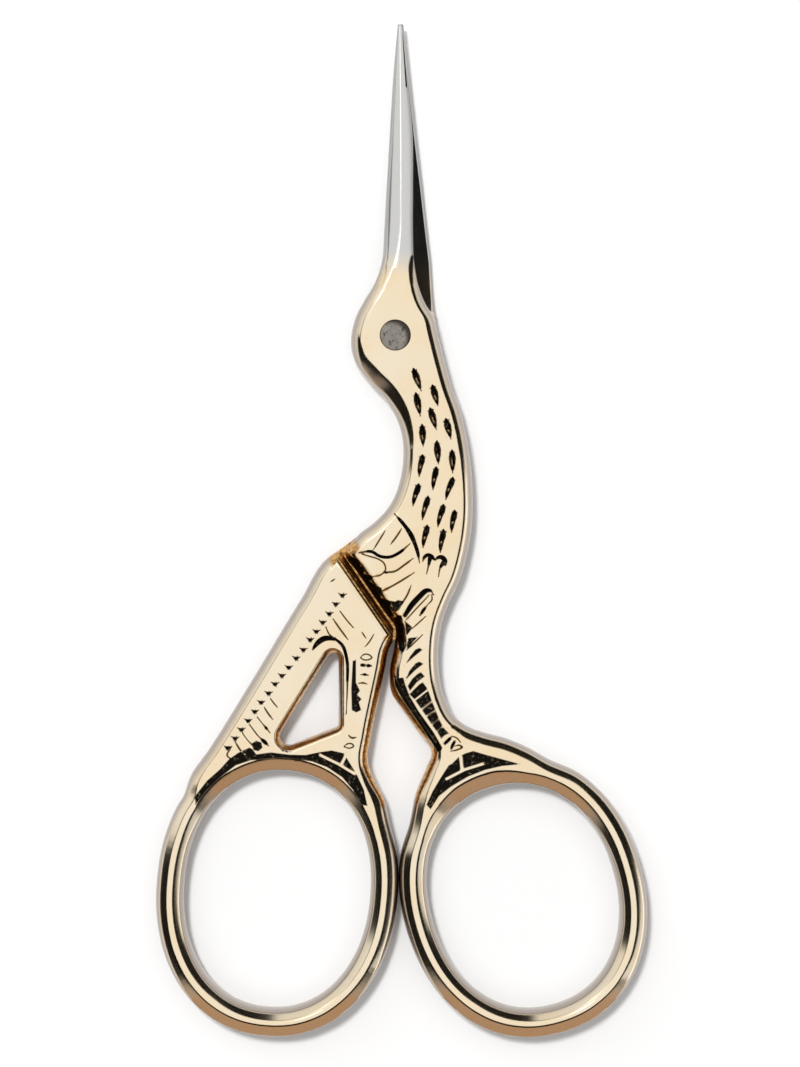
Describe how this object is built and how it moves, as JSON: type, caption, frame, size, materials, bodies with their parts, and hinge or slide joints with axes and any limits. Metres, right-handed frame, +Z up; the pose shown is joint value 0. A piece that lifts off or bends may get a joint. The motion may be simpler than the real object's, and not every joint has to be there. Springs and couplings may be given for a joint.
{
  "type": "stork embroidery scissors",
  "caption": "Small embroidery scissors shaped as a stork: slim blades as the bill, engraved neck and body, and leg and tail that each end in an oval finger ring, turning on a flush rivet.",
  "frame": {"origin": "on the rivet's axis, where the underside of the rivet and of the closed scissors lies on the table", "axes": "+Y from the rivet towards the blade tips, +Z up from the table through the rivet, +X towards the ring of the front half, which is the right ring seen from above"},
  "size_m": [0.0433, 0.0893, 0.004],
  "materials": {
    "gold_plated_steel": "polished gold plating on forged steel, bare steel on the blades",
    "rivet_steel": "turned and left bare"
  },
  "bodies": {
    "back": {"back_half": "gold_plated_steel", "pivot_rivet": "rivet_steel"},
    "front": {"front_half": "gold_plated_steel"}
  },
  "joints": [
    {"name": "handles_open", "type": "hinge", "parent": "back", "child": "front", "pos_m": [0, 0, 0.002], "axis": [0, 0, 1], "range_deg": [0, 80]}
  ]
}
